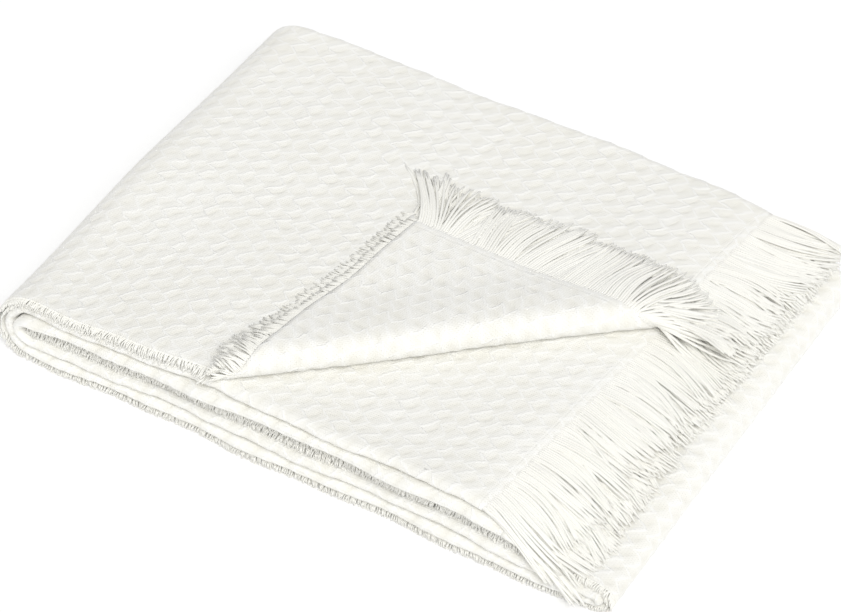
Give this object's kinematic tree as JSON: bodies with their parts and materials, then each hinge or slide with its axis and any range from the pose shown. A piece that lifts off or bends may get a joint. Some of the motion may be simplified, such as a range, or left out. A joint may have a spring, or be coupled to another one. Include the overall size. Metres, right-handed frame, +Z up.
{
  "type": "folded fringed throw blanket",
  "caption": "Folded cotton throw: one woven sheet folded across and along into a flat pack, a corner turned back, a yarn fringe along each end.",
  "frame": {"origin": "on the surface the pack lies on, under the middle of its outer box", "axes": "+X along the pack towards the fringed end, +Y across it towards the back folds, +Z up"},
  "size_m": [0.4287, 0.3129, 0.0681],
  "materials": {
    "woven_cotton": "matt, off-white, puffy zigzag weave",
    "twisted_yarn": "matt, off-white, loosely twisted yarn"
  },
  "bodies": {
    "root": {"cloth": "woven_cotton", "top_fringe": "twisted_yarn", "under_fringe": "twisted_yarn"}
  },
  "joints": []
}
